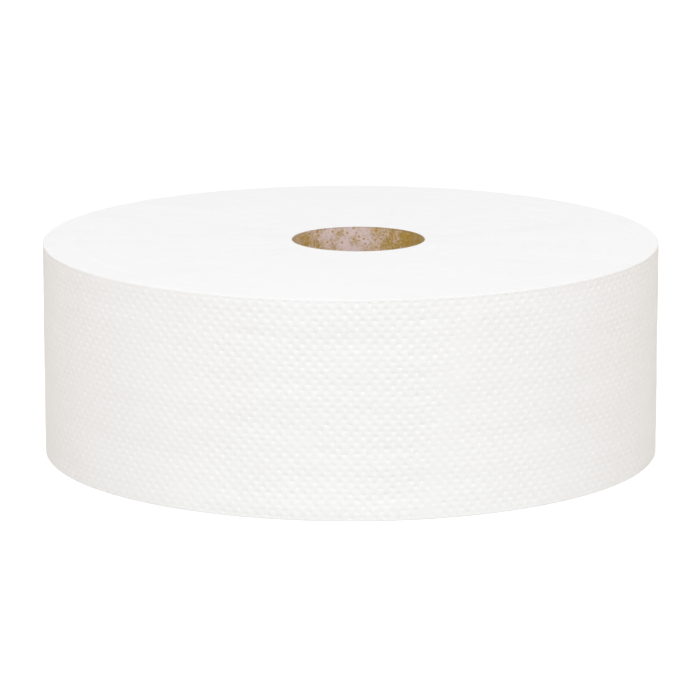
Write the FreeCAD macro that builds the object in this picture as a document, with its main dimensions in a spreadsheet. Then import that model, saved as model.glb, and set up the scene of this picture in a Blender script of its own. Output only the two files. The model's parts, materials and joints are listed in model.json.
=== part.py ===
"""A jumbo roll of embossed toilet paper on a spiral-wound kraft core, lying on one end.

Millimetres, +Z up along the core. The origin is the middle of the lower end, on the surface the roll
stands on. The photographed side is -Y, and the paper's free end is round the back.
"""

import FreeCAD, Part
import math
import os

import Sketcher
from FreeCAD import Placement, Rotation, Vector

# Driving dimensions: alias, value, what it is.
SIZES = (
    ("roll_radius", 137.5, "outside radius, at the paper's free end"),
    ("roll_width", 95.0, "width of the paper web, and so the height of the roll on its end"),
    ("sheet_thickness", 0.5, "embossed two-ply sheet, the step at the free end"),
    ("tail_angle", 120.0, "where the free end lies, degrees round from +X"),
    ("rim_bevel", 0.4, "pressed-over cut edge of the wound paper"),
    ("core_bore_radius", 28.5, "inside radius of the core, the spindle's seat"),
    ("core_wall", 1.2, "thickness of the core's board"),
    ("core_offset", 3.3, "how far the core sits off the middle of the roll, towards +X"),
    ("core_bevel", 0.25, "worn cut edge of the core"),
    ("seam_pitch", 117.0, "rise per turn of the board strip the core is wound from"),
    ("seam_width", 0.9, "open joint between two edges of that strip"),
    ("seam_depth", 0.3, "thickness of the strip, the depth of the joint"),
    ("slack_turns", 8, "turns of the groove that the slack paper leaves on each end"),
    ("notch_width", 0.8, "width of that groove at the surface"),
    ("notch_depth", 0.25, "depth of that groove"),
)

CUT_OVERRUN = 0.5  # how far a cutter stands out of the face it cuts
QUARTER = math.pi / 2


def make_sheet(doc):
    """The spreadsheet of driving dimensions, one alias a row."""
    sheet = doc.addObject("Spreadsheet::Sheet", "Sizes")
    for row, (alias, value, meaning) in enumerate(SIZES, start=1):
        sheet.set(f"A{row}", alias)
        sheet.set(f"B{row}", str(value))
        sheet.set(f"C{row}", meaning)
        sheet.setAlias(f"B{row}", alias)
    doc.recompute()
    return sheet


def bind(thing, **expressions):
    """Ties properties of an object to the spreadsheet."""
    for name, expression in expressions.items():
        thing.setExpression(name, expression)


def new_sketch(body, name, plane_role):
    """An empty sketch on one of the body's own origin planes."""
    plane = next(p for p in body.Origin.OriginFeatures if p.Role == plane_role)
    sketch = body.newObject("Sketcher::SketchObject", name)
    sketch.AttachmentSupport = [(plane, "")]
    sketch.MapMode = "FlatFace"
    return sketch


def constrain(sketch, expression, *arguments):
    """Adds a dimension to a sketch and ties it to the spreadsheet."""
    index = sketch.addConstraint(Sketcher.Constraint(*arguments))
    sketch.setExpression(f"Constraints[{index}]", expression)


def circle(sketch, radius, radius_expression):
    """A dimensioned circle about the sketch's origin."""
    edge = sketch.addGeometry(Part.Circle(Vector(), Vector(0, 0, 1), radius))
    sketch.addConstraint(Sketcher.Constraint("Coincident", edge, 3, -1, 1))
    constrain(sketch, radius_expression, "Radius", edge, radius)
    return edge


def rim_edges(shape, width):
    """Names of the round edges that lie in either end face."""
    names = []
    for number, edge in enumerate(shape.Edges, start=1):
        flat = edge.BoundBox.ZLength < 1e-6
        at_end = min(abs(edge.BoundBox.ZMin), abs(edge.BoundBox.ZMin - width)) < 1e-6
        if flat and at_end and isinstance(edge.Curve, Part.Circle):
            names.append(f"Edge{number}")
    return names


def make_core(doc, sizes):
    """The spiral-wound board tube, with the open joint of its inner strip up the bore."""
    body = doc.addObject("PartDesign::Body", "core_tube")
    bind(body, **{"Placement.Base.x": "Sizes.core_offset"})

    ring = new_sketch(body, "core_section", "XY_Plane")
    circle(ring, sizes.core_bore_radius, "Sizes.core_bore_radius")
    outside = sizes.core_bore_radius + sizes.core_wall
    circle(ring, outside, "Sizes.core_bore_radius + Sizes.core_wall")
    tube = body.newObject("PartDesign::Pad", "core_wall_pad")
    tube.Profile = ring
    bind(tube, Length="Sizes.roll_width")
    doc.recompute()

    worn = body.newObject("PartDesign::Chamfer", "core_worn_edges")
    worn.Base = (tube, rim_edges(tube.Shape, sizes.roll_width))
    bind(worn, Size="Sizes.core_bevel")
    doc.recompute()

    seam = new_sketch(body, "seam_section", "XZ_Plane")
    low, high = -sizes.seam_width - CUT_OVERRUN, -CUT_OVERRUN
    near, far = sizes.core_bore_radius - CUT_OVERRUN, sizes.core_bore_radius + sizes.seam_depth
    corners = [Vector(near, low), Vector(far, low), Vector(far, high), Vector(near, high)]
    for start, end in zip(corners, corners[1:] + corners[:1]):
        seam.addGeometry(Part.LineSegment(start, end))
    for side in range(4):
        seam.addConstraint(Sketcher.Constraint("Coincident", side, 2, (side + 1) % 4, 1))
    for side, way in enumerate(("Horizontal", "Vertical", "Horizontal", "Vertical")):
        seam.addConstraint(Sketcher.Constraint(way, side))
    constrain(seam, f"Sizes.core_bore_radius - {CUT_OVERRUN}", "DistanceX", -1, 1, 0, 1, near)
    constrain(seam, "Sizes.core_bore_radius + Sizes.seam_depth", "DistanceX", -1, 1, 1, 1, far)
    constrain(seam, "Sizes.seam_width", "DistanceY", 1, 1, 1, 2, sizes.seam_width)
    constrain(seam, f"{CUT_OVERRUN}", "DistanceY", 2, 1, -1, 1, CUT_OVERRUN)
    joint = body.newObject("PartDesign::SubtractiveHelix", "seam_joint")
    joint.Profile = seam
    joint.ReferenceAxis = (seam, ["V_Axis"])
    joint.Mode = "pitch-height-angle"
    bind(
        joint,
        Pitch="Sizes.seam_pitch",
        Height=f"Sizes.roll_width + Sizes.seam_width + {2 * CUT_OVERRUN}",
    )
    doc.recompute()
    body.Label = "core_tube"
    return body


def spiral_outline(sketch, sizes):
    """The roll in plan: a four-centre spiral that falls one sheet in a turn, closed by the cut end.

    Each quarter turn is an arc. The next centre moves a quarter of the sheet towards the point where
    the arcs meet, so that they meet smoothly and the spiral ends one sheet below its start.
    """
    step = sizes.sheet_thickness / 4
    centres = [Vector(0, 0), Vector(0, step), Vector(-step, step), Vector(-step, 0)]
    for quarter, centre in enumerate(centres):
        radius = sizes.roll_radius - quarter * step
        edge = Part.Circle(centre, Vector(0, 0, 1), radius)
        sketch.addGeometry(Part.ArcOfCircle(edge, quarter * QUARTER, (quarter + 1) * QUARTER))
    foot = Vector(sizes.roll_radius - sizes.sheet_thickness, 0)
    cut_end = sketch.addGeometry(Part.LineSegment(foot, Vector(sizes.roll_radius, 0)))

    sketch.addConstraint(Sketcher.Constraint("Coincident", 0, 3, -1, 1))
    for quarter in range(3):
        sketch.addConstraint(Sketcher.Constraint("Coincident", quarter, 2, quarter + 1, 1))
        constrain(
            sketch,
            f"Sizes.roll_radius - {quarter} * Sizes.sheet_thickness / 4",
            "Radius",
            quarter,
            sizes.roll_radius - quarter * step,
        )
    sketch.addConstraint(Sketcher.Constraint("Coincident", 3, 2, cut_end, 1))
    sketch.addConstraint(Sketcher.Constraint("Coincident", cut_end, 2, 0, 1))
    sketch.addConstraint(Sketcher.Constraint("PointOnObject", 0, 1, -1))
    sketch.addConstraint(Sketcher.Constraint("PointOnObject", 0, 2, -2))
    sketch.addConstraint(Sketcher.Constraint("PointOnObject", 1, 3, -2))
    sketch.addConstraint(Sketcher.Constraint("Horizontal", 1, 3, 1, 2))
    sketch.addConstraint(Sketcher.Constraint("Horizontal", 2, 3, 1, 3))
    sketch.addConstraint(Sketcher.Constraint("Vertical", 2, 3, 2, 2))
    sketch.addConstraint(Sketcher.Constraint("Vertical", 3, 3, 2, 3))
    sketch.addConstraint(Sketcher.Constraint("PointOnObject", 3, 3, -1))
    sketch.addConstraint(Sketcher.Constraint("Horizontal", cut_end))


def make_web(doc, sizes):
    """The wound paper as one body: spiral outside, seat for the core, soft cut rims."""
    body = doc.addObject("PartDesign::Body", "wound_web")

    plan = new_sketch(body, "web_plan", "XY_Plane")
    plan.AttachmentOffset = Placement(Vector(), Rotation(Vector(0, 0, 1), sizes.tail_angle))
    plan.setExpression("AttachmentOffset.Rotation.Angle", "Sizes.tail_angle")
    spiral_outline(plan, sizes)
    drum = body.newObject("PartDesign::Pad", "web_pad")
    drum.Profile = plan
    bind(drum, Length="Sizes.roll_width")
    doc.recompute()

    seat = new_sketch(body, "core_seat", "XY_Plane")
    seat.AttachmentOffset = Placement(Vector(sizes.core_offset, 0, 0), Rotation())
    seat.setExpression("AttachmentOffset.Base.x", "Sizes.core_offset")
    circle(seat, sizes.core_bore_radius + sizes.core_wall, "Sizes.core_bore_radius + Sizes.core_wall")
    bore = body.newObject("PartDesign::Pocket", "core_seat_bore")
    bore.Profile = seat
    bore.Reversed = True
    bore.Type = "ThroughAll"
    doc.recompute()

    rims = body.newObject("PartDesign::Chamfer", "soft_rims")
    rims.Base = (bore, rim_edges(bore.Shape, sizes.roll_width))
    bind(rims, Size="Sizes.rim_bevel")
    doc.recompute()
    return body


def slack_turn_path(sizes):
    """Plan of the slack turns: a four-centre spiral from the free end's foot in to the core.

    Its centre drifts from the middle of the roll to the middle of the core, because every turn lies
    on the one inside it. At each quarter the radius drops and the centre moves as far along that
    quarter's direction, so the drift is the difference between the drops of opposite quarters.
    """
    start = sizes.roll_radius - sizes.sheet_thickness - sizes.rim_bevel - sizes.notch_width
    end = sizes.core_bore_radius + sizes.core_wall + sizes.rim_bevel + sizes.notch_width
    turns = int(round(sizes.slack_turns))
    fall = (start - end) / turns / 4
    first = math.radians(sizes.tail_angle)
    drift = sizes.core_offset / turns
    edges = []
    centre, radius = Vector(), start
    for quarter in range(4 * turns):
        begin = first + quarter * QUARTER
        if quarter:
            drop = fall + drift * math.cos(begin) / 2
            centre = centre + Vector(math.cos(begin), math.sin(begin)) * drop
            radius -= drop
        points = [
            centre + Vector(math.cos(angle), math.sin(angle)) * radius
            for angle in (begin, begin + QUARTER / 2, begin + QUARTER)
        ]
        edges.append(Part.Arc(*points).toShape())
    return Part.Wire(edges), first, start


def make_notch(doc, sizes):
    """The cutter for the slack turns on the upper end: a V swept along their path."""
    wire, first, start = slack_turn_path(sizes)
    path = doc.addObject("Part::Feature", "slack_turn_path")
    path.Shape = wire
    path.Placement.Base.z = sizes.roll_width
    outward = Vector(math.cos(first), math.sin(first))
    middle = outward * start + Vector(0, 0, sizes.roll_width)
    flare = sizes.notch_width / 2 * (1 + CUT_OVERRUN / sizes.notch_depth)
    above = Vector(0, 0, CUT_OVERRUN)
    corners = [
        middle - Vector(0, 0, sizes.notch_depth),
        middle + outward * flare + above,
        middle - outward * flare + above,
    ]
    section = doc.addObject("Part::Feature", "notch_section")
    section.Shape = Part.makePolygon(corners + corners[:1])
    notch = doc.addObject("Part::Sweep", "slack_turns_upper")
    notch.Sections = [section]
    notch.Spine = (path, [])
    notch.Solid = True
    notch.Frenet = True
    return notch


def make_roll(doc, sizes):
    """The wound paper with the slack turns cut into both ends."""
    web = make_web(doc, sizes)
    upper = make_notch(doc, sizes)
    lower = doc.addObject("Part::Mirroring", "slack_turns_lower")
    lower.Source = upper
    lower.Normal = Vector(0, 0, 1)
    bind(lower, **{"Base.z": "Sizes.roll_width / 2"})
    doc.recompute()
    upper_cut = doc.addObject("Part::Cut", "web_upper_end")
    upper_cut.Base = web
    upper_cut.Tool = upper
    roll = doc.addObject("Part::Cut", "tissue_roll")
    roll.Base = upper_cut
    roll.Tool = lower
    doc.recompute()
    roll.Label = "tissue_roll"
    return roll


def check(doc, parts):
    """Stops the build on any failed feature or any piece that isn't one valid solid."""
    for thing in doc.Objects:
        if {"Invalid", "Error"} & set(thing.State):
            raise RuntimeError(f"{thing.Name} failed: {thing.State}")
    for part in parts:
        shape = part.Shape
        if shape.isNull() or not shape.isValid() or len(shape.Solids) != 1:
            raise RuntimeError(f"{part.Label} is not one valid solid")
        box = shape.BoundBox
        print(
            f"{part.Label}: {shape.Volume / 1000:.2f} cm3, "
            f"x {box.XMin:.2f}..{box.XMax:.2f}, y {box.YMin:.2f}..{box.YMax:.2f}, "
            f"z {box.ZMin:.2f}..{box.ZMax:.2f}, {len(shape.Faces)} faces"
        )


def main():
    doc = FreeCAD.newDocument("toilet_paper_roll")
    sizes = make_sheet(doc)
    parts = [make_roll(doc, sizes), make_core(doc, sizes)]
    doc.recompute()
    check(doc, parts)
    os.makedirs("parts", exist_ok=True)
    for part in parts:
        part.Shape.exportStep(f"parts/{part.Label}.step")


main()
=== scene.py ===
"""Looks of a jumbo toilet paper roll: embossed tissue on a kraft board core, stood on one end.

Metres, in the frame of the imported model: +Z up along the core, the floor at Z = 0, the camera on
the -Y side.
"""

import json
import math

import bmesh
import bpy
import numpy as np
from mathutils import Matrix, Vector


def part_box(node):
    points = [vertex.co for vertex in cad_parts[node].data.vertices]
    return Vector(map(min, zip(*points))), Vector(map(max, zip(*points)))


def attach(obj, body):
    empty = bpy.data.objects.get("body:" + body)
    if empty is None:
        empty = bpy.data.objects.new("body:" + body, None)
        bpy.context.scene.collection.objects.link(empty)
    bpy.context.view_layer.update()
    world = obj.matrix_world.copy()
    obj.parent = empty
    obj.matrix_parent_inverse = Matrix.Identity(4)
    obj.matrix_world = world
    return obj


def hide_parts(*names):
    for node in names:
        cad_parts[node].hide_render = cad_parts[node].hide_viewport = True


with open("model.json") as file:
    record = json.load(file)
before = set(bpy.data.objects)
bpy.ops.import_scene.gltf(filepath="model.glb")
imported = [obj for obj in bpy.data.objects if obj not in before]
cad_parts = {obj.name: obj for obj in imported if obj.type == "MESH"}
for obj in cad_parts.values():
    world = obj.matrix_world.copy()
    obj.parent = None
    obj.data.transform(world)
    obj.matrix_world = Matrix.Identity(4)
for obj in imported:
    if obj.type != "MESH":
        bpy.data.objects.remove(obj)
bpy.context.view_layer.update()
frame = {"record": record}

MM = 0.001
TURN = 2 * math.pi
QUARTER = math.pi / 2

# The roll: read from the frame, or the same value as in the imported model
LOW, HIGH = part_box("tissue_roll")
BORE = next(m for m in frame["record"]["mounts"] if m["name"] == "core_bore")
WIDTH = HIGH.z - LOW.z
ROLL_RADIUS = -LOW.x
CORE_BORE = BORE["dims"]["r_mm"] * MM
CORE_X = BORE["pos_m"][0]
CORE_OUTSIDE = (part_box("core_tube")[1].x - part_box("core_tube")[0].x) / 2
SHEET = 0.5 * MM
TAIL_ANGLE = math.radians(120)
NOTCH_WIDTH = 0.8 * MM
SLACK_TURNS = 8

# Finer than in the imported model, which has 0.4 mm and 0.25 mm
RIM_BEVEL = 0.25 * MM
NOTCH_DEPTH = 0.08 * MM  # the slack turns lie almost shut

# Embossing: dimples in a quincunx lattice, columns round the roll and rows up it
COLUMNS = 171
ROWS = 38
ROW_MARGIN = 1.45 * MM
DIMPLE_RADIUS = 1.0 * MM
DIMPLE_DEPTH = 0.47 * MM
DIMPLE_WIDE = 1.28  # a dimple is wider than it is tall
DIMPLE_TALL = 0.86
UPPER_WALL = 1.2  # how much further up a flat dimple's upper wall begins
PILLOW = 0.03 * MM  # how far the sheet stands out at the corners between dimples
PLACE_JITTER = 0.03 * MM
STRENGTH_JITTER = 0.05

# The sheet between its rims
WANDER_ALONG = 0.28 * MM
WANDER_UP = 0.30 * MM
SWELL = 0.27 * MM
SWELL_LOST = 0.6  # share of the swell that is gone on the flanks
FADE = 0.12  # random part of the embossing's strength
FLANK_RECOVERY = 0.55  # how much of the strength comes back further round
BAND_TURN = math.radians(18)
BAND_LEAN = 0.21
BAND_HALF_WIDTH = 4.5 * MM
BAND_LOSS = 0.55
CREASE_TURN = math.radians(12)
CREASE_DEPTH = 0.45 * MM
# Short creases that lie along the web in front: degrees round, then height, half length and half
# width in mm
CREASES = (
    (0.8, 86, 5, 1.2), (0, 71, 6, 1.1), (0.3, 62, 5.5, 1.2), (0, 53.5, 5, 1.1), (1.5, 41.5, 6, 1),
    (-4.9, 30.3, 9.5, 1.8), (-4.5, 9.8, 10, 2.2), (-17, 30, 5, 1.4), (-30, 79, 12, 1.6),
)

END_STEPS = 114  # segments in one turn of the groove on the end faces
END_WAVINESS = 0.03 * MM

# Core
CORE_BEVEL = 0.25 * MM
SEAM_PITCH = 117 * MM
SEAM_WIDTH = 0.9 * MM
SEAM_START = -1.4 * MM
SEAM_DEPTH = 0.3 * MM
PLY = 0.4 * MM
CORE_STEPS = 180
SHARP_ANGLE = math.radians(20)

# Camera, from the outline in the photograph
CAMERA_BACK = 13.807 * ROLL_RADIUS
CAMERA_HEIGHT = 3.308 * ROLL_RADIUS
CAMERA_PITCH = math.radians(12.209)
CAMERA_LENS = 222.12
CAMERA_X = -0.454 * MM
SENSOR = 36.0

# Studio
WHITE = (1, 1, 1, 1)
FILL_COLOUR = (0.649, 0.591, 0.553, 1)
FLOOR_HALF = 6.0
FLOOR_PLAIN = (0.8, 0.8, 0.8, 1)
FLOOR_SHADED = (0.32, 0.32, 0.32, 1)
FLOOR_GLOW = 0.8
LIGHT_DISTANCE = 3.2
# Name, degrees to the right of the camera and above level, side in metres, watts, colour
LIGHTS = (
    ("front", 0, 43, 2.04, 40.2, (0.795, 0.905, 1)),
    ("left", -74, 43, 1.75, 7.4, (1, 0.78, 0.6)),
    ("right", 74, 43, 1.75, 7.4, (1, 0.78, 0.6)),
    ("above", 0, 80, 2.3, 14.7, (0.58, 0.835, 1)),
)


def smooth_step(x):
    """0 below 0, 1 above 1, and a smooth rise between."""
    x = np.clip(x, 0, 1)
    return x * x * (3 - 2 * x)


def ripples(rng, count, longest, shortest, slope=1.0):
    """A smooth random field over the unrolled side, between about -1 and 1.

    It adds up waves of mixed length and way. A slope below 1 draws them out along the web.
    """
    lengths = np.geomspace(longest, shortest, count)
    ways = rng.uniform(0, TURN, count)
    phases = rng.uniform(0, TURN, count)
    weights = lengths ** 0.5
    weights /= weights.sum()

    def field(along, up):
        total = np.zeros(np.broadcast(along, up).shape)
        for length, way, phase, weight in zip(lengths, ways, phases, weights):
            across = along * math.cos(way) * slope + up * math.sin(way)
            total += weight * np.sin(TURN * across / length + phase)
        return total * 2

    return field


class Skin:
    """Points, triangles and a region number for each triangle, gathered for one closed mesh.

    A point also says how far the embossing presses it in, 0 to about 1, for the painted highlight.
    """

    def __init__(self):
        self.points = []
        self.pressed = []
        self.count = 0
        self.triangles = []
        self.regions = []

    def add(self, points, pressed=0.0):
        """Adds points and gives their numbers."""
        points = np.asarray(points, float).reshape(-1, 3)
        self.points.append(points)
        self.pressed.append(np.broadcast_to(np.ravel(pressed), len(points)))
        first = self.count
        self.count += len(points)
        return np.arange(first, self.count)

    def face(self, triangles, region):
        """Adds triangles, wound so that their outside is seen anticlockwise."""
        triangles = np.asarray(triangles, int).reshape(-1, 3)
        self.triangles.append(triangles)
        self.regions.append(np.full(len(triangles), region))

    def strip(self, lower, upper, region, at_lower=None, at_upper=None, flip=False):
        """Joins two chains that run to the right, seen from outside, the first below the second."""
        if at_lower is None:
            at_lower, at_upper = np.linspace(0, 1, len(lower)), np.linspace(0, 1, len(upper))
        made = []
        i = j = 0
        while i < len(lower) - 1 or j < len(upper) - 1:
            low_next = at_lower[i + 1] if i < len(lower) - 1 else math.inf
            up_next = at_upper[j + 1] if j < len(upper) - 1 else math.inf
            if low_next <= up_next:
                made.append((lower[i], lower[i + 1], upper[j]))
                i += 1
            else:
                made.append((lower[i], upper[j + 1], upper[j]))
                j += 1
        made = np.array(made)
        self.face(made[:, ::-1] if flip else made, region)

    def build(self, name, materials, region_slots):
        """The mesh object, smooth inside each region and sharp where two regions meet."""
        points = np.concatenate(self.points)
        triangles = np.concatenate(self.triangles)
        regions = np.concatenate(self.regions)
        mesh = bpy.data.meshes.new(name)
        mesh.from_pydata(points.tolist(), [], triangles.tolist())
        for material in materials:
            mesh.materials.append(material)
        slots = np.array([region_slots.get(region, 0) for region in regions], np.int32)
        mesh.polygons.foreach_set("material_index", slots)
        mesh.polygons.foreach_set("use_smooth", np.ones(len(triangles), bool))
        pressed = mesh.attributes.new("pressed", "FLOAT", "POINT")
        pressed.data.foreach_set("value", np.concatenate(self.pressed).astype(np.float32))
        work = bmesh.new()
        work.from_mesh(mesh)
        work.faces.ensure_lookup_table()
        for edge in work.edges:
            met = {int(regions[face.index]) for face in edge.link_faces}
            edge.smooth = len(met) == 1
        work.to_mesh(mesh)
        work.free()
        mesh.update()
        piece = bpy.data.objects.new(name, mesh)
        bpy.context.scene.collection.objects.link(piece)
        return piece


# Regions of the wound paper
SIDE, RIM, LAND, NOTCH_OUT, NOTCH_IN, CUT, SEAT = range(7)


def roll_outline(wound, outward):
    """Plan of the outside at a winding angle from the free end: a four-centre spiral.

    It falls by one sheet in a turn.
    """
    wound = np.asarray(wound, float)
    quarter = np.clip((wound // QUARTER).astype(int), 0, 3)
    step = SHEET / 4
    centres = np.array([(0, 0), (0, step), (-step, step), (-step, 0)])[quarter]
    radius = ROLL_RADIUS - quarter * step + outward
    x = centres[..., 0] + radius * np.cos(wound)
    y = centres[..., 1] + radius * np.sin(wound)
    cos_tail, sin_tail = math.cos(TAIL_ANGLE), math.sin(TAIL_ANGLE)
    return x * cos_tail - y * sin_tail, x * sin_tail + y * cos_tail


def on_side(wound, height, outward):
    """Points of the side at winding angles and heights, outward of the plain spiral."""
    wound, height, outward = np.broadcast_arrays(wound, height, outward)
    x, y = roll_outline(wound, outward)
    return np.stack([x, y, height], axis=-1)


def round_core(radius, turn, height):
    """Points round the middle of the core."""
    radius, turn, height = np.broadcast_arrays(radius, turn, height)
    return np.stack([CORE_X + radius * np.cos(turn), radius * np.sin(turn), height], axis=-1)


def make_relief(rng):
    """How the sheet's embossing wanders, swells and fades over the side of the roll.

    Gives a function of winding angle and height that returns the shift along, the shift up and the
    swell outward, which are nought at the rims and at the free end, and the embossing's strength.
    """
    shift_along = ripples(rng, 7, 90 * MM, 14 * MM)
    shift_up = ripples(rng, 7, 110 * MM, 16 * MM)
    swell = ripples(rng, 9, 45 * MM, 7 * MM, 0.11)
    fade = ripples(rng, 8, 60 * MM, 8 * MM)
    rim_fade, end_fade = 5 * MM, 8 * MM
    front = (-QUARTER - TAIL_ANGLE) % TURN
    creases = [
        (front + CREASE_TURN + math.radians(degrees), middle * MM, long * MM, wide * MM)
        for degrees, middle, long, wide in CREASES
    ]

    def relief(wound, height):
        along = wound * ROLL_RADIUS
        edge = smooth_step(np.minimum(height, WIDTH - height) / rim_fade)
        edge = edge * smooth_step(np.minimum(wound, TURN - wound) * ROLL_RADIUS / end_fade)
        flank = np.sin(wound - front) ** 2
        out = SWELL * (1 - SWELL_LOST * flank) * swell(along, height)
        for turn, middle, long, wide in creases:
            far = ((along - turn * ROLL_RADIUS) / long) ** 2 + ((height - middle) / wide) ** 2
            out = out - CREASE_DEPTH * np.exp(-far)
        # Pressed flatter halfway round to both flanks, and a little here and there
        recovered = FLANK_RECOVERY * smooth_step((flank - 0.45) / 0.4)
        strength = 1 - flank * (1 - recovered) + FADE * fade(along, height)
        # A soft slanting band right of the middle, where the embossing is pressed flatter
        slant = front + BAND_TURN + (height - WIDTH / 2) * BAND_LEAN / ROLL_RADIUS
        band = ((wound - slant) * ROLL_RADIUS / BAND_HALF_WIDTH) ** 2
        strength = strength * (1 - BAND_LOSS * np.exp(-band))
        return (
            WANDER_ALONG * shift_along(along, height) * edge,
            WANDER_UP * shift_up(along, height) * edge,
            out * edge,
            np.clip(strength, 0.3, 1.2),
        )

    return relief


def add_side(skin, rng):
    """The embossed side: each dimple is a bowl of two rings in a diamond.

    Diamonds share their corners. Gives the chains of point numbers round the lower and upper edge and
    up both sides of the free end, with the winding angles or heights of their points.
    """
    relief = make_relief(rng)
    pitch = TURN / COLUMNS
    heights = ROW_MARGIN + np.arange(ROWS) * (WIDTH - 2 * ROW_MARGIN) / (ROWS - 1)
    low, high = RIM_BEVEL, WIDTH - RIM_BEVEL

    def place(wound, height, outward, pressed=0.0):
        along, up, out, _ = relief(wound, height)
        return skin.add(on_side(wound + along / ROLL_RADIUS, height + up, outward + out), pressed)

    # Corners midway between the dimples of each row, cut off at the free end
    starts = np.where(np.arange(ROWS) % 2 == 0, 0.25, 0.75)
    corners = []
    for row in range(ROWS):
        wound = np.clip((np.arange(COLUMNS + 1) + starts[row] - 0.5) * pitch, 0, TURN)
        corners.append(place(wound, heights[row], PILLOW * np.ones_like(wound)))
    edge_turns = []
    edges = []
    for row, height in ((0, low), (ROWS - 1, high)):
        wound = np.concatenate([[0], (np.arange(COLUMNS) + starts[row]) * pitch, [TURN]])
        edge_turns.append(wound)
        edges.append(skin.add(on_side(wound, height, 0)))

    # One dimple: its middle, then an inner and an outer ring of six points. The middle and the inner
    # ring sit low, so the upper wall is the longer one.
    sixth = TURN / 6
    spokes = np.concatenate([[0], (np.arange(6) + 0.5) * sixth, np.arange(6) * sixth])
    reach = np.concatenate([[0], np.full(6, 0.5), np.ones(6)])
    lean = np.concatenate([[-0.3], np.full(6, -0.17), np.zeros(6)]) * MM
    upper = np.where(np.sin(spokes) > 0.01, reach * UPPER_WALL, 0)
    bowl = np.concatenate([[1], np.full(6, 0.62), np.full(6, 0.03)])
    for row in range(ROWS):
        wound = (np.arange(COLUMNS) + starts[row]) * pitch
        at_edge = np.full(COLUMNS, row in (0, ROWS - 1))
        at_edge[[0, -1]] = True
        free = np.where(at_edge, 0, 1)
        wound = wound + rng.normal(0, PLACE_JITTER, COLUMNS) * free / ROLL_RADIUS
        height = heights[row] + rng.normal(0, PLACE_JITTER, COLUMNS) * free
        strength = relief(wound, height)[3] * rng.normal(1, STRENGTH_JITTER, COLUMNS)
        strength = np.clip(strength, 0.2, 1.3)
        radius = DIMPLE_RADIUS * np.minimum(np.where(at_edge, 0.85, 1.0), 0.45 + 0.55 * strength)
        spread = radius[:, None] * DIMPLE_WIDE * reach * np.cos(spokes)
        around = wound[:, None] + spread / ROLL_RADIUS
        flat = np.clip(1 - strength[:, None], 0, 1)
        rise = DIMPLE_TALL * reach * np.sin(spokes) * (1 + upper * flat)
        up = height[:, None] + radius[:, None] * rise + (1 + flat) * lean
        pressed = (strength * np.clip(0.45 + 0.62 * strength, 0, 1))[:, None] * bowl
        own = place(around, up, -DIMPLE_DEPTH * pressed, pressed).reshape(COLUMNS, -1)

        shift = row % 2
        left, right = corners[row][:-1], corners[row][1:]
        top = corners[row + 1][shift:shift + COLUMNS] if row < ROWS - 1 else edges[1][1:-1]
        bottom = corners[row - 1][shift:shift + COLUMNS] if row else edges[0][1:-1]
        centre, small, large = own[:, :1], own[:, 1:7], own[:, 7:]
        for k in range(6):
            after, before = (k + 1) % 6, (k - 1) % 6
            skin.face(np.column_stack([centre, small[:, k], small[:, after]]), SIDE)
            skin.face(np.column_stack([small[:, k], large[:, k], large[:, after]]), SIDE)
            skin.face(np.column_stack([small[:, before], large[:, k], small[:, k]]), SIDE)
        for corner, first, last in ((right, 5, 1), (top, 1, 2), (left, 2, 4), (bottom, 4, 5)):
            for k in range(first, first + (last - first) % 6):
                skin.face(np.column_stack([large[:, k % 6], corner, large[:, (k + 1) % 6]]), SIDE)
        sides = ((right, top, 1), (top, left, 2), (left, bottom, 4), (bottom, right, 5))
        for one, other, k in sides:
            skin.face(np.column_stack([large[:, k], one, other]), SIDE)

    # What the diamonds leave open along the lower and upper edges
    last = ROWS - 1
    bottom, top = edges
    skin.face(np.stack([bottom[1:-2], bottom[2:-1], corners[0][1:-1]], axis=1), SIDE)
    skin.face(np.stack([corners[last][1:-1], top[2:-1], top[1:-2]], axis=1), SIDE)
    skin.face([(bottom[0], bottom[1], corners[0][0])], SIDE)
    skin.face([(bottom[-2], bottom[-1], corners[0][-1])], SIDE)
    skin.face([(bottom[-1], corners[1][-1], corners[0][-1])], SIDE)
    skin.face([(top[0], corners[last - 1][0], corners[last][0])], SIDE)
    skin.face([(top[0], corners[last][0], top[1])], SIDE)
    skin.face([(corners[last][-1], top[-1], top[-2])], SIDE)
    # And along the free end, where every other row stops short
    for row in range(0, ROWS - 2, 2):
        skin.face([(corners[row][0], corners[row + 1][0], corners[row + 2][0])], SIDE)
        skin.face([(corners[row + 1][-1], corners[row + 3][-1], corners[row + 2][-1])], SIDE)

    outer = [corners[row][0] for row in range(0, ROWS, 2)]
    under = [corners[row][-1] for row in range(1, ROWS, 2)]
    outer_end = np.concatenate([bottom[:1], outer, top[:1]])
    under_end = np.concatenate([bottom[-1:], under, top[-1:]])
    outer_heights = np.concatenate([[low], heights[0::2], [high]])
    under_heights = np.concatenate([[low], heights[1::2], [high]])
    return edges, edge_turns, (outer_end, outer_heights), (under_end, under_heights)


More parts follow.
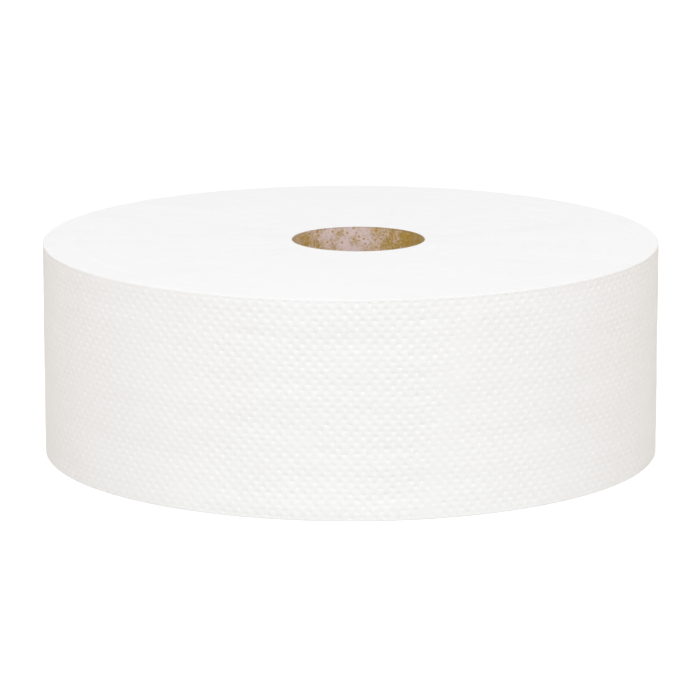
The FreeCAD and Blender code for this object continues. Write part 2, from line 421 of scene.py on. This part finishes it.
def slack_turn_plan(steps):
    """Plan of the slack turns' groove: centres, radii and angles at even steps of winding.

    The centre drifts from the middle of the roll to the middle of the core, because every turn lies
    on the one inside it. So each quarter's drop in radius is uneven by the drift along its direction.
    """
    start = ROLL_RADIUS - SHEET - RIM_BEVEL - NOTCH_WIDTH
    end = CORE_OUTSIDE + RIM_BEVEL + NOTCH_WIDTH
    fall = (start - end) / SLACK_TURNS / 4
    drift = CORE_X / SLACK_TURNS
    centre, radius = np.zeros(2), start
    centres, radii = [centre], [radius]
    for quarter in range(1, 4 * SLACK_TURNS):
        begin = TAIL_ANGLE + quarter * QUARTER
        drop = fall + drift * math.cos(begin) / 2
        centre = centre + drop * np.array([math.cos(begin), math.sin(begin)])
        radius -= drop
        centres.append(centre)
        radii.append(radius)
    wound = np.linspace(0, SLACK_TURNS * TURN, steps + 1)
    quarter = np.clip((wound / QUARTER + 1e-9).astype(int), 0, 4 * SLACK_TURNS - 1)
    return np.array(centres)[quarter], np.array(radii)[quarter], wound + TAIL_ANGLE


def add_end(skin, rng, edge, edge_turns, height, flip):
    """One end of the wound paper: pressed rim, flat turns with a groove between, seat's rim.

    Gives the chains round the rim and round the mouth of the core's seat.
    """
    inward = 1 if flip else -1
    face = height - inward * RIM_BEVEL
    x, y = roll_outline(edge_turns, -RIM_BEVEL)
    rim = skin.add(np.stack([x, y, np.full(len(x), face)], axis=1))
    if flip:
        skin.strip(rim, edge, RIM, edge_turns, edge_turns)
    else:
        skin.strip(edge, rim, RIM, edge_turns, edge_turns)

    steps = SLACK_TURNS * END_STEPS
    centres, radii, angles = slack_turn_plan(steps)
    directions = np.stack([np.cos(angles), np.sin(angles)], axis=1)
    lift = ripples(rng, 6, 160 * MM, 30 * MM)
    chains = []
    for outward, deep in ((NOTCH_WIDTH / 2, 0), (0, NOTCH_DEPTH), (-NOTCH_WIDTH / 2, 0)):
        plan = centres + (radii + outward)[:, None] * directions
        sunk = END_WAVINESS * (1 + lift(plan[:, 0] + outward * 40, plan[:, 1]))
        sunk = np.clip(sunk, 0, None) + deep
        chains.append(skin.add(np.column_stack([plan, face + inward * sunk])))
    outer, bottom, inner = chains
    skin.strip(outer, bottom, NOTCH_OUT, flip=flip)
    skin.strip(bottom, inner, NOTCH_IN, flip=flip)

    def cap(corners):
        skin.face([corners[::-1] if flip else corners], NOTCH_OUT)

    cap([outer[0], bottom[0], inner[0]])
    cap([inner[-1], bottom[-1], outer[-1]])

    # Outermost turn, from the rim to the groove, closed on itself at the free end
    turn = np.arange(END_STEPS + 1) * TURN / END_STEPS
    rim_at = np.concatenate([[-1, turn[1] * 1.01], edge_turns[1:-1], [TURN + 1]])
    rim_at = np.maximum.accumulate(rim_at)
    groove = np.concatenate([outer[:END_STEPS + 1], inner[:1], outer[:1]])
    groove_at = np.concatenate([turn, [TURN + 0.1, TURN + 0.2]])
    skin.strip(np.concatenate([rim[-1:], rim]), groove, LAND, rim_at, groove_at, flip)
    for number in range(1, SLACK_TURNS):
        first = number * END_STEPS
        outside = inner[first - END_STEPS:first + 1]
        inside = outer[first:first + END_STEPS + 1]
        skin.strip(outside, inside, LAND, turn, turn, flip)

    # Innermost turn, from the groove to the mouth of the seat
    around = turn[:-1] + TAIL_ANGLE
    mouth = []
    for radius, level in ((CORE_OUTSIDE + RIM_BEVEL, face), (CORE_OUTSIDE, height)):
        numbers = skin.add(round_core(radius, around, level))
        mouth.append(np.concatenate([numbers, numbers[:1]]))
    last = inner[steps - END_STEPS:]
    early = [-1, turn[1] * 1.01, turn[1] * 1.02]
    last_at = np.concatenate([early, np.maximum(turn[1:], turn[1] * 1.03)])
    last = np.concatenate([[last[-1], outer[-1]], last])
    skin.strip(last, mouth[0], LAND, last_at, turn, flip)
    skin.strip(mouth[0], mouth[1], RIM, flip=flip)
    return rim, mouth[1]


def make_wound_paper(materials):
    """The tissue: embossed outer turn with its free end, both end faces and the seat of the core."""
    rng = np.random.default_rng(19)
    skin = Skin()
    edges, edge_turns, (outer_end, outer_at), (under_end, under_at) = add_side(skin, rng)
    low_rim, low_mouth = add_end(skin, rng, edges[0], edge_turns[0], RIM_BEVEL, True)
    high_rim, high_mouth = add_end(skin, rng, edges[1], edge_turns[1], WIDTH - RIM_BEVEL, False)
    skin.strip(high_mouth, low_mouth, SEAT)
    outer_end = np.concatenate([low_rim[:1], outer_end, high_rim[:1]])
    under_end = np.concatenate([low_rim[-1:], under_end, high_rim[-1:]])
    outer_at = np.concatenate([[0], outer_at, [WIDTH]])
    under_at = np.concatenate([[0], under_at, [WIDTH]])
    skin.strip(outer_end, under_end, CUT, outer_at, under_at)
    return skin.build("wound_paper", materials, {LAND: 1, NOTCH_OUT: 1, NOTCH_IN: 1})


def make_core(material):
    """The kraft tube: open helical joint of the inner strip up the bore, ply edges on both ends."""
    turn = np.linspace(0, TURN, CORE_STEPS + 1)
    rise = SEAM_PITCH * turn / TURN
    low, high = CORE_BEVEL, WIDTH - CORE_BEVEL
    soft = 0.12 * MM
    joint = [
        (SEAM_START, 0), (SEAM_START + soft, SEAM_DEPTH),
        (SEAM_START + SEAM_WIDTH - soft, SEAM_DEPTH), (SEAM_START + SEAM_WIDTH, 0),
    ]
    plain = np.linspace(SEAM_START + SEAM_WIDTH, SEAM_START + SEAM_PITCH, 22)[1:-1]
    period = joint + [(level, 0) for level in plain]
    levels = [(level + SEAM_PITCH * lap, deep) for lap in (-1, 0) for level, deep in period]

    skin = Skin()
    grid = []
    for level, deep in levels:
        height = np.clip(level + rise, low, high)
        radius = np.where((height > low) & (height < high), CORE_BORE + deep, CORE_BORE)
        grid.append(skin.add(round_core(radius, turn, height)))
    for lower, upper in zip(grid, grid[1:]):
        skin.strip(upper, lower, 0, turn, turn)

    # From the bore's upper edge over the end with its ply joints, down the outside and back under
    crack_wide, crack_deep = 0.05 * MM, 0.12 * MM
    upper = [(CORE_BORE, high), (CORE_BORE + CORE_BEVEL, WIDTH)]
    for ply in (1, 2):
        middle = CORE_BORE + ply * PLY
        upper += [(middle - crack_wide, WIDTH), (middle, WIDTH - crack_deep)]
        upper += [(middle + crack_wide, WIDTH)]
    upper += [(CORE_OUTSIDE - CORE_BEVEL, WIDTH), (CORE_OUTSIDE, high)]
    section = upper + [(radius, WIDTH - level) for radius, level in reversed(upper)]
    rings = [skin.add(round_core(radius, turn, level)) for radius, level in section]
    for inside, outside in zip(rings, rings[1:]):
        skin.strip(outside, inside, 0, turn, turn)
    piece = skin.build("board_core", [material], {})
    mesh = piece.data
    work = bmesh.new()
    work.from_mesh(mesh)
    # Points that coincide are joined, and the sharp edges then go by angle
    bmesh.ops.remove_doubles(work, verts=work.verts, dist=0.002 * MM)
    bmesh.ops.dissolve_degenerate(work, edges=work.edges, dist=0.001 * MM)
    for edge in work.edges:
        edge.smooth = edge.calc_face_angle(0) < SHARP_ANGLE
    work.to_mesh(mesh)
    work.free()
    return piece


class Nodes:
    """A short way to write a node material."""

    def __init__(self, name):
        self.material = bpy.data.materials.new(name)
        self.material.use_nodes = True
        self.tree = self.material.node_tree
        self.shader = self.tree.nodes["Principled BSDF"]

    def add(self, kind, links=None, **values):
        """A node, with attributes set by name and inputs given by links."""
        node = self.tree.nodes.new(kind)
        for name, value in values.items():
            setattr(node, name, value)
        for socket, value in (links or {}).items():
            self.feed(node.inputs[socket], value)
        return node

    def feed(self, socket, value):
        """Sets an input to a value, or links it to a node's first output or to a socket."""
        if isinstance(value, bpy.types.Node):
            self.tree.links.new(value.outputs[0], socket)
        elif isinstance(value, bpy.types.NodeSocket):
            self.tree.links.new(value, socket)
        else:
            socket.default_value = value

    def math(self, operation, *inputs):
        return self.add("ShaderNodeMath", dict(enumerate(inputs)), operation=operation)

    def noise(self, vector, scale, detail=2.0, roughness=0.5):
        links = {"Vector": vector, "Scale": scale, "Detail": detail, "Roughness": roughness}
        return self.add("ShaderNodeTexNoise", links)

    def line_noise(self, place, scale, detail):
        """Noise along one measure."""
        links = {"W": place, "Scale": scale, "Detail": detail}
        return self.add("ShaderNodeTexNoise", links, noise_dimensions="1D")

    def stretch(self, vector, scale):
        """The coordinates, scaled unevenly."""
        return self.add("ShaderNodeMapping", {"Vector": vector, "Scale": scale})

    def ramp(self, value, low, high, to_low=0.0, to_high=1.0):
        links = {0: value, 1: low, 2: high, 3: to_low, 4: to_high}
        return self.add("ShaderNodeMapRange", links, interpolation_type="SMOOTHSTEP")

    def mix(self, factor, first, second):
        node = self.add("ShaderNodeMix", {"Factor": factor}, data_type="RGBA")
        self.feed(node.inputs[6], first)
        self.feed(node.inputs[7], second)
        return node.outputs[2]

    def bump(self, height, strength, distance, normal=None):
        links = {"Height": height, "Strength": strength, "Distance": distance}
        if normal is not None:
            links["Normal"] = normal
        return self.add("ShaderNodeBump", links)

    def vector_math(self, operation, *inputs):
        return self.add("ShaderNodeVectorMath", dict(enumerate(inputs)), operation=operation)

    def length(self, vector):
        return self.vector_math("LENGTH", vector).outputs["Value"]

    def coordinates(self):
        return self.add("ShaderNodeTexCoord").outputs["Object"]

    def finish(self, colour, normal, roughness, specular):
        """Feeds the shader and gives the material."""
        self.feed(self.shader.inputs["Base Color"], colour)
        self.feed(self.shader.inputs["Normal"], normal)
        self.feed(self.shader.inputs["Roughness"], roughness)
        self.feed(self.shader.inputs["Specular IOR Level"], specular)
        return self.material


def unrolled(n, wall_radius, centre_x, seam):
    """Coordinates on a round wall: metres round, up and out. They part at the seam's angle."""
    middle = n.vector_math("SUBTRACT", n.coordinates(), (centre_x, 0, 0))
    turned = n.add("ShaderNodeMapping", {"Vector": middle, "Rotation": (0, 0, math.pi - seam)})
    place = n.add("ShaderNodeSeparateXYZ", {0: turned})
    angle = n.math("ARCTAN2", place.outputs[1], place.outputs[0])
    flat = n.add("ShaderNodeCombineXYZ", {0: place.outputs[0], 1: place.outputs[1]})
    radius = n.length(flat)
    round_it = n.math("MULTIPLY", angle, wall_radius)
    return n.add("ShaderNodeCombineXYZ", {0: round_it, 1: place.outputs[2], 2: radius})


TISSUE_ROUGHNESS = 0.95
TISSUE_SPECULAR = 0.12
SIDE_WHITE = (0.918, 0.921, 0.91, 1)
SIDE_SHADE = (0.91, 0.911, 0.897, 1)
# The dimples' bottoms are painted this lighter colour, as a highlight
SIDE_PAINTED_HIGHLIGHT = (0.937, 0.94, 0.931, 1)
END_WHITE = (0.927, 0.938, 0.951, 1)
END_SHADE = (0.919, 0.928, 0.939, 1)


def tissue_side_material():
    """Creped and embossed tissue: crepe lines, loose fibres, soft puckers, a faint cloudiness."""
    n = Nodes("tissue_side")
    where = unrolled(n, ROLL_RADIUS, 0, TAIL_ANGLE)
    cloud = n.noise(where, 45, 3)
    colour = n.mix(n.ramp(cloud, 0.35, 0.7), SIDE_WHITE, SIDE_SHADE)
    # Painted highlight: the dimples' bottoms are painted a shade lighter, the deeper the more
    pressed = n.add("ShaderNodeAttribute", attribute_name="pressed").outputs["Fac"]
    colour = n.mix(n.ramp(pressed, 0.05, 1.0), colour, SIDE_PAINTED_HIGHLIGHT)
    crepe = n.noise(n.stretch(where, (3200, 420, 1)), 1, 2)
    fibres = n.noise(n.stretch(where, (1500, 1500, 1)), 1, 3, 0.6)
    puckers = n.noise(n.stretch(where, (70, 300, 1)), 1, 1)
    normal = n.bump(puckers, 0.2, 0.15 * MM)
    normal = n.bump(crepe, 0.05, 0.05 * MM, normal)
    normal = n.bump(fibres, 0.05, 0.03 * MM, normal)
    return n.finish(colour, normal, TISSUE_ROUGHNESS, TISSUE_SPECULAR)


def tissue_end_material():
    """The cut ends of the turns: fine rings round a centre that drifts to the core, soft folds."""
    n = Nodes("tissue_end")
    place = n.coordinates()
    flat = n.vector_math("MULTIPLY", place, (1, 1, 0))
    from_middle = n.length(flat)
    drift = n.ramp(from_middle, CORE_OUTSIDE, ROLL_RADIUS, CORE_X, 0.0)
    drift.interpolation_type = "LINEAR"
    centre = n.add("ShaderNodeCombineXYZ", {0: drift})
    spoke = n.vector_math("SUBTRACT", flat, centre)
    radius = n.length(spoke)
    rings = n.line_noise(radius, 900.0, 3.0)
    bands = n.line_noise(radius, 120.0, 2.0)
    fuzz = n.noise(place, 1100, 3, 0.6)
    cloud = n.noise(place, 22, 3)
    # Long along a spoke and short across it, for the folds that run out from the core
    heading = n.vector_math("NORMALIZE", spoke)
    outward = n.add("ShaderNodeCombineXYZ", {2: n.math("MULTIPLY", radius, 4)})
    polar = n.vector_math("ADD", heading, outward)
    crease = n.noise(polar, 2.5, 2)
    fold = n.math("ABSOLUTE", n.math("SUBTRACT", n.noise(polar, 2.2, 1, 0.4), 0.5))
    colour = n.mix(n.ramp(cloud, 0.4, 0.75), END_WHITE, END_SHADE)
    normal = n.bump(crease, 0.5, 4 * MM)
    normal = n.bump(n.ramp(fold, 0, 0.05), 0.4, 0.3 * MM, normal)
    normal = n.bump(bands, 0.3, 0.10 * MM, normal)
    normal = n.bump(rings, 0.25, 0.05 * MM, normal)
    normal = n.bump(fuzz, 0.25, 0.06 * MM, normal)
    return n.finish(colour, normal, TISSUE_ROUGHNESS, TISSUE_SPECULAR)


KRAFT_SPECULAR = 0.5
KRAFT_DARK = (0.475, 0.3, 0.04, 1)
KRAFT_OLIVE = (0.65, 0.465, 0.135, 1)
# Pale mauve, painted as a sheen in the middle of the far and near wall
KRAFT_PAINTED_SHEEN = (0.9, 0.76, 0.78, 1)
KRAFT_PALE = (0.93, 0.84, 0.85, 1)
KRAFT_SPECK = (0.58, 0.35, 0.012, 1)
KRAFT_CUT = (0.26, 0.16, 0.035, 1)
# The cut ends' colour under the painted sheen
KRAFT_CUT_PAINTED_SHEEN = (0.5, 0.4, 0.37, 1)
KRAFT_RIGHT = (0.42, 0.27, 0.02, 1)
# How far along X from the core's middle the painted sheen is centred
PAINTED_SHEEN_SHIFT = -5 * MM


def kraft_material():
    """Recycled kraft board: mottled olive brown, dark specks, pale mauve fibres, darker cut ends."""
    n = Nodes("kraft_board")
    where = unrolled(n, CORE_BORE, CORE_X, -QUARTER)
    place = n.add("ShaderNodeSeparateXYZ", {0: n.coordinates()})
    mottle = n.noise(where, 1000, 5, 0.8)
    patches = n.noise(where, 170, 2)
    flecks = n.noise(n.stretch(where, (1300, 1900, 1)), 1, 2, 0.5)
    dots = n.add("ShaderNodeTexVoronoi", {"Vector": where, "Scale": 400.0}, voronoi_dimensions="2D")
    # Painted sheen: pale mauve painted in the middle of the far and near wall, broken by mottle
    flank = n.math("ABSOLUTE", n.math("SUBTRACT", place.outputs[0], CORE_X + PAINTED_SHEEN_SHIFT))
    uneven = n.math("ADD", n.math("MULTIPLY", mottle, 0.9), n.math("MULTIPLY", patches, 0.5))
    painted_sheen = n.ramp(n.math("SUBTRACT", uneven, n.math("MULTIPLY", flank, 9.0)), 0.42, 0.76)
    colour = n.mix(n.ramp(mottle, 0.4, 0.6), KRAFT_DARK, KRAFT_OLIVE)
    right = n.ramp(place.outputs[0], CORE_X + 12 * MM, CORE_X + 27 * MM, 0, 0.4)
    colour = n.mix(right, colour, KRAFT_RIGHT)
    colour = n.mix(painted_sheen, colour, KRAFT_PAINTED_SHEEN)
    colour = n.mix(n.ramp(flecks, 0.56, 0.7, 0, 0.5), colour, KRAFT_PALE)
    chosen = n.add("ShaderNodeSeparateXYZ", {0: dots.outputs["Color"]})
    near_dot = n.ramp(dots.outputs["Distance"], 0.12, 0.3, 0.9, 0)
    speck = n.math("MULTIPLY", near_dot, n.ramp(chosen, 0.66, 0.76))
    colour = n.mix(speck, colour, KRAFT_SPECK)
    from_end = n.math("ABSOLUTE", n.math("SUBTRACT", place.outputs[2], WIDTH / 2))
    cut = n.ramp(from_end, WIDTH / 2 - 0.5 * MM, WIDTH / 2 - 0.15 * MM, 0, 0.9)
    # Darker cut ends, painted greyer under the painted sheen
    colour = n.mix(cut, colour, n.mix(painted_sheen, KRAFT_CUT, KRAFT_CUT_PAINTED_SHEEN))
    normal = n.bump(flecks, 0.4, 0.10 * MM)
    normal = n.bump(mottle, 0.3, 0.15 * MM, normal)
    return n.finish(colour, normal, n.ramp(flecks, 0.3, 0.7, 0.5, 0.7), KRAFT_SPECULAR)


def make_world():
    """A white background for what looks straight at it, and a soft warm fill for the object."""
    world = bpy.data.worlds.new("studio")
    world.use_nodes = True
    tree = world.node_tree
    fill = tree.nodes["Background"]
    fill.inputs["Color"].default_value = FILL_COLOUR
    fill.inputs["Strength"].default_value = 1.0
    white = tree.nodes.new("ShaderNodeBackground")
    white.inputs["Color"].default_value = WHITE
    rays = tree.nodes.new("ShaderNodeLightPath")
    seen = rays.outputs["Is Camera Ray"]
    for name in ("Is Glossy Ray", "Is Transmission Ray"):
        either = tree.nodes.new("ShaderNodeMath")
        either.operation = "MAXIMUM"
        tree.links.new(seen, either.inputs[0])
        tree.links.new(rays.outputs[name], either.inputs[1])
        seen = either.outputs[0]
    mix = tree.nodes.new("ShaderNodeMixShader")
    tree.links.new(seen, mix.inputs[0])
    tree.links.new(fill.outputs[0], mix.inputs[1])
    tree.links.new(white.outputs[0], mix.inputs[2])
    tree.links.new(mix.outputs[0], tree.nodes["World Output"].inputs[0])
    bpy.context.scene.world = world


def make_floor():
    """A white floor that keeps a soft shadow under the roll."""
    n = Nodes("floor_white")
    tree = n.tree
    plain = n.add("ShaderNodeBsdfDiffuse", {"Color": FLOOR_PLAIN})
    shaded = n.add("ShaderNodeBsdfDiffuse", {"Color": FLOOR_SHADED})
    glow = n.add("ShaderNodeEmission", {"Color": WHITE, "Strength": FLOOR_GLOW})
    seen = n.add("ShaderNodeAddShader", {0: shaded, 1: glow})
    rays = n.add("ShaderNodeLightPath")
    mix = n.add("ShaderNodeMixShader", {0: rays.outputs["Is Camera Ray"], 1: plain, 2: seen})
    tree.links.new(mix.outputs[0], tree.nodes["Material Output"].inputs[0])
    mesh = bpy.data.meshes.new("floor")
    corners = [(x * FLOOR_HALF, y * FLOOR_HALF, 0) for x, y in ((-1, -1), (1, -1), (1, 1), (-1, 1))]
    mesh.from_pydata(corners, [], [(0, 1, 2, 3)])
    mesh.materials.append(n.material)
    floor = bpy.data.objects.new("floor", mesh)
    bpy.context.scene.collection.objects.link(floor)


def make_light(name, azimuth, elevation, size, power, colour):
    """A square soft light aimed at the roll, its azimuth in degrees to the right of the camera."""
    side, rise = math.radians(azimuth), math.radians(elevation)
    level = math.cos(rise)
    away = Vector((math.sin(side) * level, -math.cos(side) * level, math.sin(rise)))
    light = bpy.data.lights.new(name, "AREA")
    light.size = size
    light.energy = power
    light.color = colour
    lamp = bpy.data.objects.new(name, light)
    lamp.location = Vector((0, 0, WIDTH / 2)) + away * LIGHT_DISTANCE
    lamp.rotation_euler = (-away).to_track_quat("-Z", "Y").to_euler()
    bpy.context.scene.collection.objects.link(lamp)


def make_camera():
    """The photograph's view: a long lens, from a little above the roll."""
    data = bpy.data.cameras.new("camera")
    data.lens = CAMERA_LENS
    data.sensor_width = SENSOR
    camera = bpy.data.objects.new("camera", data)
    camera.location = (CAMERA_X, -CAMERA_BACK, CAMERA_HEIGHT)
    camera.rotation_euler = (QUARTER - CAMERA_PITCH, 0, 0)
    bpy.context.scene.collection.objects.link(camera)
    bpy.context.scene.camera = camera


make_camera()
make_world()
make_floor()
for light in LIGHTS:
    make_light(*light)

paper = make_wound_paper([tissue_side_material(), tissue_end_material()])
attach(paper, "root")
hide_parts("tissue_roll")

core = make_core(kraft_material())
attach(core, "root")
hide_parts("core_tube")

bpy.context.scene.view_settings.view_transform = "Standard"
